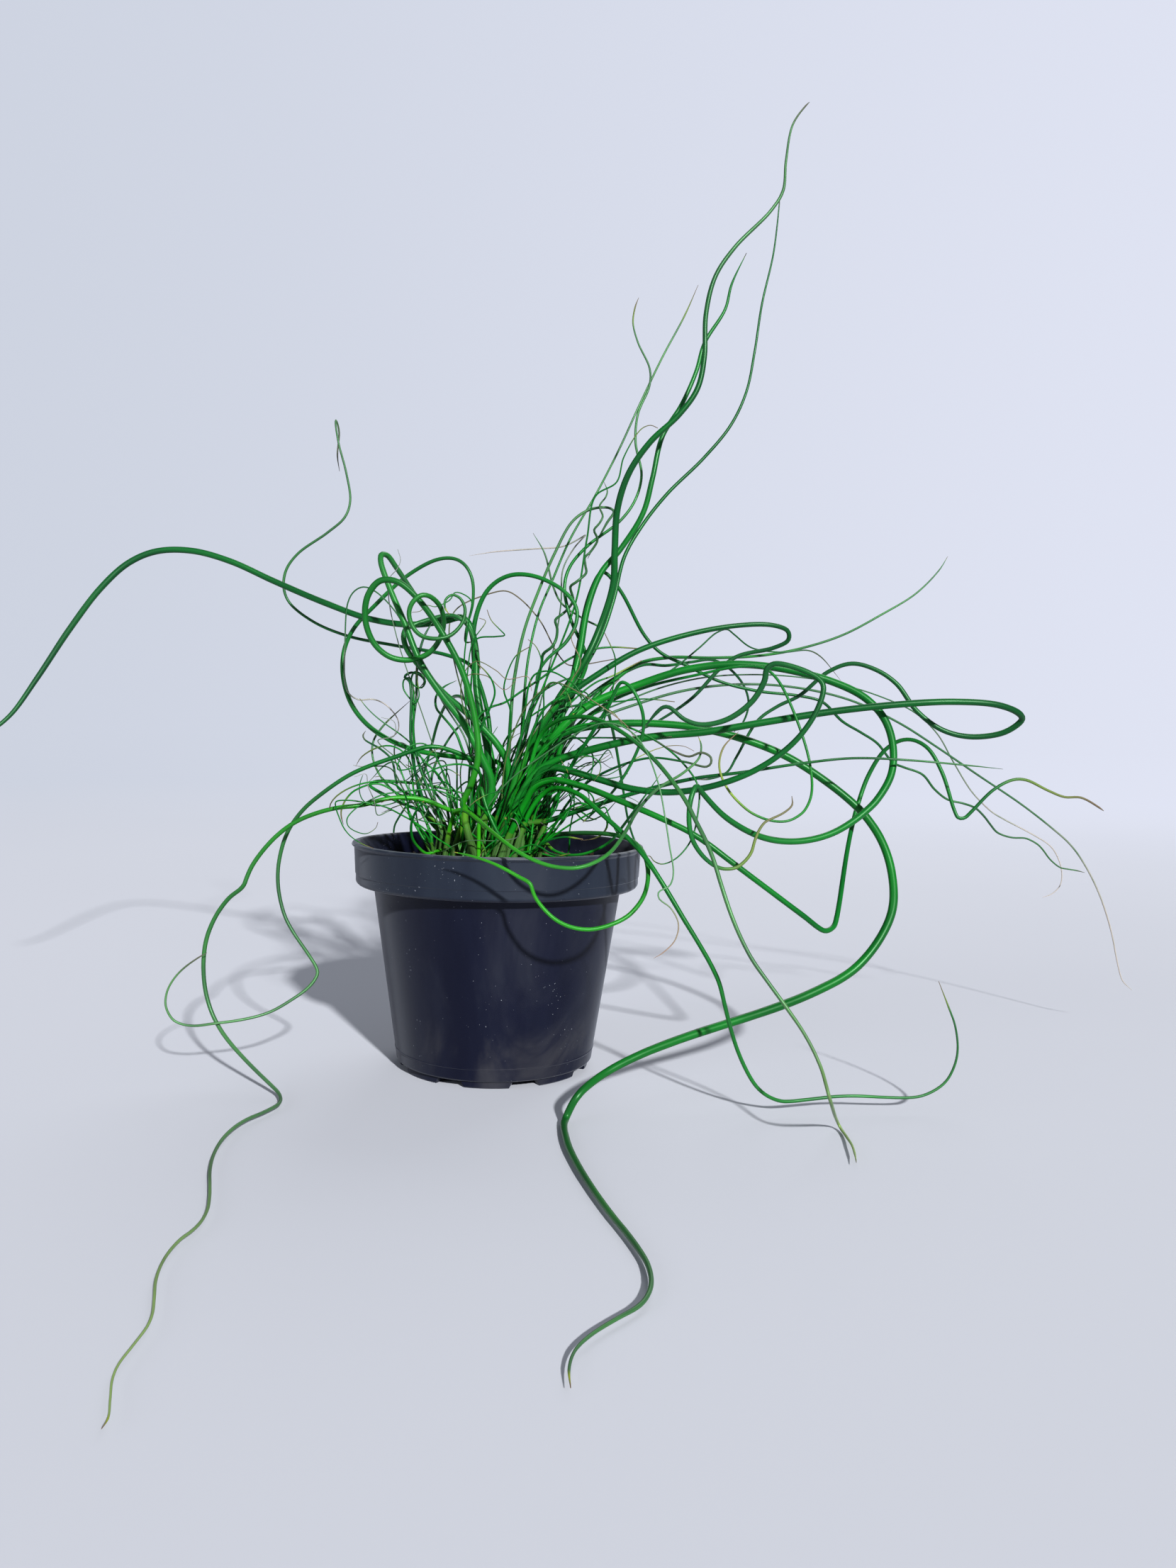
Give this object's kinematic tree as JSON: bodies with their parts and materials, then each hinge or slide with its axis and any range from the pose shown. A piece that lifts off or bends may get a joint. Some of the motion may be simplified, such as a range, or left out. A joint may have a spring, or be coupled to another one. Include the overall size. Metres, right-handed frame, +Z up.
{
  "type": "corkscrew rush in a nursery pot",
  "caption": "Corkscrew rush with long, thin, spiralling and looping green stems, standing in soil in a round tapered plastic nursery pot.",
  "frame": {"origin": "centre of the pot's base, on the surface it stands on", "axes": "+Z up along the pot's axis, -Y towards the front, +X to the right seen from the front"},
  "size_m": [0.4538, 0.3613, 0.3501],
  "materials": {
    "pot_plastic": "satin, faintly dusty",
    "soil": "rough, crumbly",
    "stem_bright": "satin",
    "stem_mid": "satin",
    "stem_deep": "satin",
    "stem_pale": "satin",
    "stem_dry": "matt"
  },
  "bodies": {
    "root": {"pot": "pot_plastic", "soil": "soil", "arch_far_left": "stem_mid", "whip_upper_left": "stem_deep", "loop_left_front": "stem_bright", "loop_left_back": "stem_mid", "ring_left_inner": "stem_mid", "ring_left_wide": "stem_mid", "whip_low_left": "stem_deep", "trail_left": "stem_bright", "loop_left_pale": "stem_pale", "loop_over_rim": "stem_bright", "loop_before_pot": "stem_bright", "upright_left_outer": "stem_deep", "upright_left_inner": "stem_deep", "hook_left_low": "stem_deep", "thread_left_arc": "stem_mid", "curl_left_core": "stem_mid", "curl_left_low": "stem_deep", "hook_left_grey": "stem_deep", "arch_top_centre": "stem_mid", "upright_kinked": "stem_mid", "upright_straight": "stem_mid", "upright_wavy": "stem_mid", "corkscrew_centre": "stem_deep", "hook_centre": "stem_deep", "thread_top_back": "stem_dry", "thread_dry_wanderer": "stem_dry", "tallest_front": "stem_deep", "tall_second": "stem_mid", "tall_third": "stem_deep", "wave_right_long": "stem_deep", "loop_right_upper": "stem_mid", "whip_right_upper": "stem_mid", "sweep_right_to_front": "stem_bright", "sweep_right_flat_loop": "stem_mid", "fold_right_front": "stem_deep", "crook_right": "stem_mid", "ring_right_wide": "stem_mid", "ring_right_thin": "stem_pale", "whip_right_level": "stem_mid", "curl_right_yellow": "stem_pale", "trail_front_right": "stem_mid", "trail_low_right": "stem_mid", "crook_right_core": "stem_mid", "whip_right_back": "stem_mid", "thread_right_back": "stem_dry", "arc_right_back": "stem_mid", "curl_right_high": "stem_pale", "loop_inside_rim": "stem_pale", "thread_front_hanging": "stem_dry", "arch_back_right": "stem_mid", "arch_back_left": "stem_mid", "tuft_left": "stem_mid", "tuft_left_back": "stem_mid", "tuft_front": "stem_mid", "tuft_right": "stem_mid", "tuft_right_high": "stem_mid", "tuft_right_back": "stem_mid", "tuft_back": "stem_mid"}
  },
  "joints": []
}
